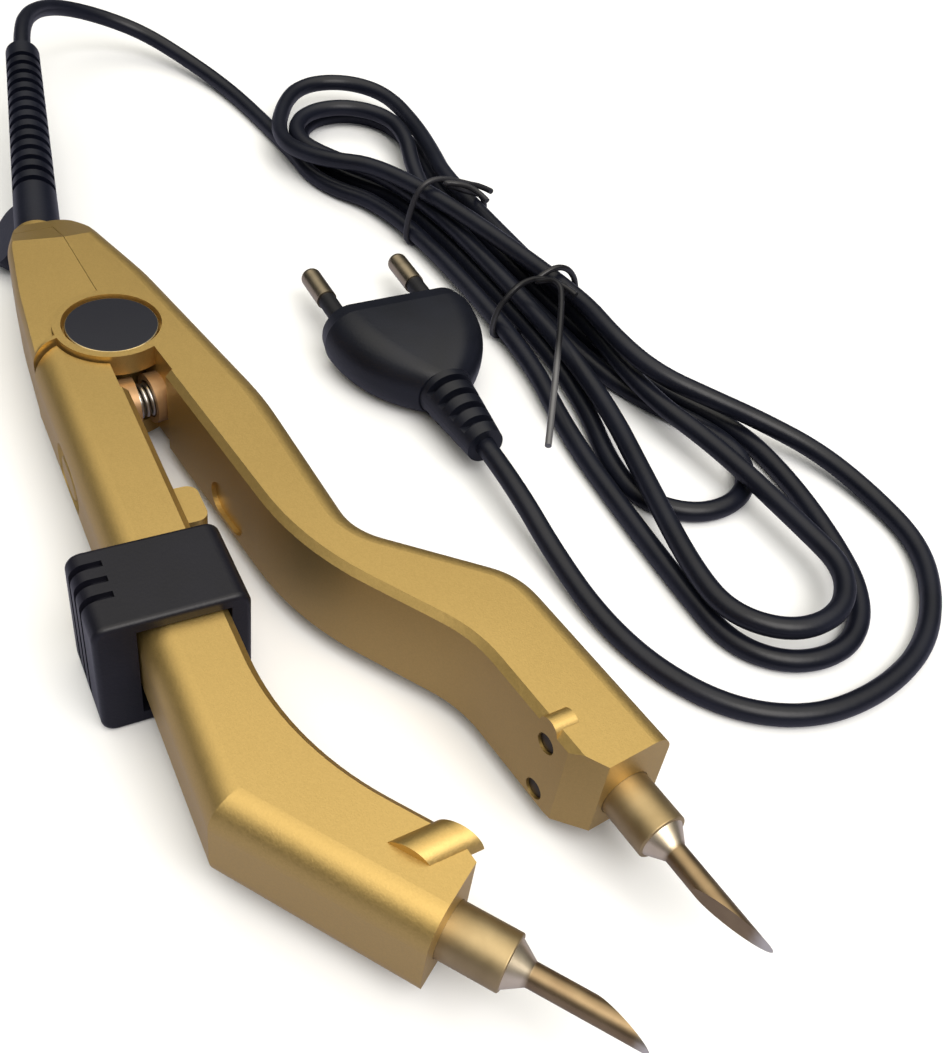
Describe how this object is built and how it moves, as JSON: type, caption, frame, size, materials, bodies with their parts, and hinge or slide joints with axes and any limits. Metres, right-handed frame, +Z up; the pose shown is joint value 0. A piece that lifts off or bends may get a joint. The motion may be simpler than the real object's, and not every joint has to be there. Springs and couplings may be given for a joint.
{
  "type": "hair extension iron",
  "caption": "Hair extension iron with two sprung arms, bevelled heated tips, a sliding rest sleeve and a tied mains cord with a flat plug.",
  "frame": {"origin": "under the middle of the iron on the table, the mains cord not counted", "axes": "+X from the hinge towards the tips, +Y from the swinging arm towards the fixed arm, +Z up from the table"},
  "size_m": [0.2738, 0.1388, 0.0215],
  "materials": {
    "gold_plastic": "satin gold with fine metallic flakes",
    "badge_plastic": "near-black glossy disc with a thin gold rim",
    "black_plastic": "satin near-black",
    "soft_black": "satin near-black soft plastic",
    "tie_wire": "dark plastic-coated wire",
    "bronze_metal": "satin bronze-gold coated metal",
    "tip_metal": "bare bright metal with bronze-coated faces",
    "bright_metal": "bright nickel-plated steel",
    "copper_plastic": "copper-brown moulding",
    "washer_plastic": "natural low-friction plastic",
    "ceramic": "off-white ceramic",
    "board": "green circuit board",
    "wire_sleeving": "red insulation"
  },
  "bodies": {
    "base": {"main_arm_shell": "gold_plastic", "main_arm_cover": "gold_plastic", "rear_cover": "gold_plastic", "rear_screws": "bright_metal", "hinge_pin": "bright_metal", "hinge_washer": "washer_plastic", "badge": "badge_plastic", "strain_relief": "soft_black", "main_spring_seat": "copper_plastic", "return_spring": "bright_metal", "main_barrel": "bronze_metal", "main_tip": "tip_metal", "main_heater_core": "ceramic", "main_bush": "ceramic", "main_cover_screws": "bright_metal", "control_board": "board", "main_wires": "wire_sleeving", "mains_wires": "wire_sleeving", "cord_lead": "soft_black", "cord_hank": "soft_black", "cord_tail": "soft_black", "hank_tie_left": "tie_wire", "hank_tie_right": "tie_wire", "plug_body": "black_plastic", "plug_pins": "bright_metal", "plug_pin_sleeves": "black_plastic"},
    "swing_arm": {"swing_arm_shell": "gold_plastic", "swing_arm_cover": "gold_plastic", "swing_spring_seat": "copper_plastic", "swing_barrel": "bronze_metal", "swing_tip": "tip_metal", "swing_heater_core": "ceramic", "swing_bush": "ceramic", "swing_cover_screws": "bright_metal", "swing_wires": "wire_sleeving", "switch_board": "board"},
    "button": {"power_button": "gold_plastic"},
    "sleeve": {"stand_sleeve": "black_plastic"}
  },
  "joints": [
    {"name": "arm_hinge", "type": "hinge", "parent": "base", "child": "swing_arm", "pos_m": [-0.01737, -0.00581, 0.0109], "axis": [0, 0, 1], "range_deg": [0, 8.3], "stiffness_Nm_per_rad": 0.5, "springref_deg": -5.73, "deforming": ["return_spring"]},
    {"name": "sleeve_slide", "type": "slide", "parent": "swing_arm", "child": "sleeve", "axis": [0.9974, -0.0715, 0], "range_m": [-0.003, 0.006]},
    {"name": "button_press", "type": "slide", "parent": "swing_arm", "child": "button", "axis": [0.0715, 0.9974, 0], "range_m": [0, 0.0008], "stiffness_N_per_m": 300, "springref_m": -0.0005}
  ]
}
